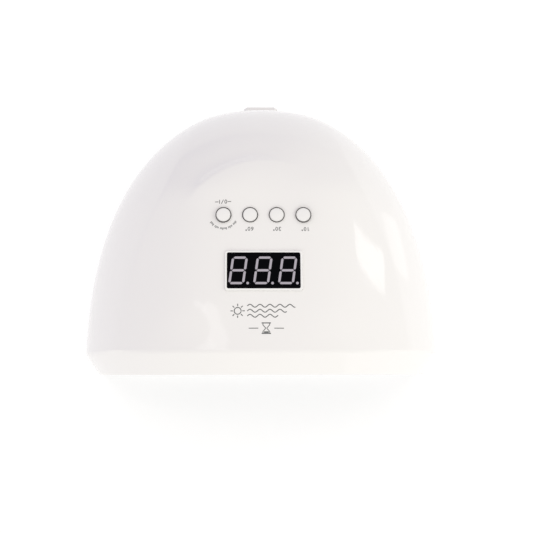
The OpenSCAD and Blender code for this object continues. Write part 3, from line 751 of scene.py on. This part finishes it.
# light waves under a ray of light, then an hourglass
cx, cy = 0.9, -58.4
stroke(arc(cx - 14.2, cy, 1.75, 1.75, 0, 345, 22), 0.5, closed=False)
for i in range(8):
    a = math.radians(45 * i)
    stroke([(cx - 14.2 + 2.55 * math.cos(a), cy + 2.55 * math.sin(a)), (cx - 14.2 + 3.5 * math.cos(a), cy + 3.5 * math.sin(a))], 0.48)
for row, (x0, x1) in enumerate(((-9.2, 15.0), (-9.2, 10.6), (-9.2, 6.2))):
    yy = cy + 2.6 - 2.6 * row
    stroke([(cx + x, yy + 0.75 * math.sin((x - x0) * 2 * math.pi / 5.08)) for x in np.linspace(x0, x1, 80)], 0.5)
cx, cy = 1.2, -67.4
for s in (-1, 1):
    stroke([(cx - 2.2, cy + s * 2.7), (cx + 2.2, cy + s * 2.7)], 0.55)
stroke([(cx - 1.7, cy + 2.6), (cx - 1.7, cy + 1.7), (cx - 0.25, cy), (cx - 1.7, cy - 1.7), (cx - 1.7, cy - 2.6)], 0.42)
stroke([(cx + 1.7, cy + 2.6), (cx + 1.7, cy + 1.7), (cx + 0.25, cy), (cx + 1.7, cy - 1.7), (cx + 1.7, cy - 2.6)], 0.42)
stroke([(cx - 1.0, cy - 2.0), (cx + 1.0, cy - 2.0)], 0.8)
for s in (-1, 1):
    stroke([(cx + s * 4.2, cy), (cx + s * 8.8, cy)], 0.42)
o = piece("printed_marks", ink_v, ink_f, "ink", "housing", sharp=30)
bm = bmesh.new(); bm.from_mesh(o.data); bmesh.ops.recalc_face_normals(bm, faces=bm.faces); bm.to_mesh(o.data); bm.free()

# ---------------------------------------------------------------- floor and light
fl_me = bpy.data.meshes.new("floor")
fl_me.from_pydata([(-6, -6, 0), (6, -6, 0), (6, 6, 0), (-6, 6, 0)], [], [(0, 1, 2, 3)])
floor = bpy.data.objects.new("floor", fl_me)
scene.collection.objects.link(floor)
floor.location.z = -0.00002
M["floor"] = mat("floor_paper", (0.45, 0.45, 0.45), rough=0.9, ior=1.1, vary=0.01, vary_scale=3, grain=0.01, bump=0.0, emit=1.0)
fb = M["floor"].node_tree.nodes["Principled BSDF"]
fb.inputs["Emission Color"].default_value = (1, 1, 1, 1)
fb.inputs["Emission Strength"].default_value = 0.63
floor.data.materials.append(M["floor"])
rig.stage(floor)

world = bpy.data.worlds.new("studio")
scene.world = world
world.use_nodes = True
bg = world.node_tree.nodes["Background"]
wt = world.node_tree
w_dir = wt.nodes.new("ShaderNodeTexCoord")
w_rgb = wt.nodes.new("ShaderNodeCombineColor")


def w_node(kind, op, *values):
    n = wt.nodes.new(kind)
    n.operation = op
    for k, v in enumerate(values):
        if isinstance(v, bpy.types.NodeSocket):
            wt.links.new(v, n.inputs[k])
        elif v is not None:
            n.inputs[k].default_value = v
    return n.outputs["Value"]


# a dimmer corner of the room behind the left shoulder
dim = w_node("ShaderNodeVectorMath", "DOT_PRODUCT", w_dir.outputs["Generated"], (-0.62, 0.78, 0.06))
dim = w_node("ShaderNodeMath", "POWER", w_node("ShaderNodeMath", "MAXIMUM", dim, 0.0), 5.0)
for ch, base, grad, deep in (("Red", 0.965, (-0.17, 0.08, -0.055), 0.80), ("Green", 0.965, (-0.16, 0.07, -0.08), 0.80), ("Blue", 0.975, (-0.18, 0.10, -0.12), 0.60)):
    v = w_node("ShaderNodeVectorMath", "DOT_PRODUCT", w_dir.outputs["Generated"], grad)
    v = w_node("ShaderNodeMath", "ADD", v, base)
    v = w_node("ShaderNodeMath", "SUBTRACT", v, w_node("ShaderNodeMath", "MULTIPLY", dim, deep))
    wt.links.new(v, w_rgb.inputs[ch])
wt.links.new(w_rgb.outputs[0], bg.inputs["Color"])
bg.inputs["Strength"].default_value = 1.0


def light(name, loc, target, size, power, size_y=None, color=(1, 1, 1), roll=0.0, spread=180):
    d = bpy.data.lights.new(name, "AREA")
    d.energy = power
    d.color = color
    d.shape = "RECTANGLE" if size_y else "SQUARE"
    d.size = size
    if size_y:
        d.size_y = size_y
    d.spread = math.radians(spread)
    o = bpy.data.objects.new(name, d)
    scene.collection.objects.link(o)
    o.location = loc
    q = (Vector(target) - Vector(loc)).to_track_quat("-Z", "Y")
    o.rotation_euler = (q.to_matrix() @ Matrix.Rotation(roll, 3, "Z")).to_euler()
    o.visible_camera = False
    return o


light("right_key", (1.5, -0.5, 1.3), (0, 0, 0.05), 1.0, 5.6, 1.0, color=(1, 0.985, 0.95)).visible_glossy = False
light("front_fill", (0.1, -1.7, 0.9), (0, 0, 0.05), 1.0, 3.6, 0.7, color=(1, 0.985, 0.96)).visible_glossy = False


def softbox(name, seen_from, az, el, dist, half_w, half_h, roll, radiance):
    """A box light seen by reflection at bearing az (from +Y towards +X) and height el, sized by tangents."""
    a, e = math.radians(az), math.radians(el)
    c = Vector((math.cos(e) * math.sin(a), math.cos(e) * math.cos(a), math.sin(e)))
    at = Vector(seen_from)
    w, h = 2 * half_w * dist, 2 * half_h * dist
    return light(name, at + c * dist, at, w, radiance * math.pi * w * h, h, roll=roll)


softbox("right_box", (0.05, -0.022, 0.084), 71.2, 22.0, 0.9, 0.05, 0.114, -0.38, 3.2)
softbox("right_card", (0.075, 0.0, 0.055), 68.0, -18.2, 0.14, 0.20, 0.26, -0.13, 0.7)
softbox("right_card_core", (0.075, 0.0, 0.055), 68.0, -18.2, 0.14, 0.10, 0.17, -0.13, 1.5)
softbox("left_box", (-0.028, -0.066, 0.089), -76.0, 73.0, 1.2, 0.08, 0.07, 1.3, 1.5)
softbox("left_box_foot", (-0.028, -0.066, 0.089), -74.0, 64.0, 1.2, 0.10, 0.035, 1.4, 1.5)
softbox("front_right_box", (0.06, -0.08, 0.05), 121, 14, 0.8, 0.5, 0.24, 0.0, 0.6)

scene_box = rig.bounds()
json.dump({"cad_box": [list(map(float, c)) for c in CAD_BOX], "visual_box": [list(map(float, c)) for c in scene_box]}, open("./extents.json", "w"))
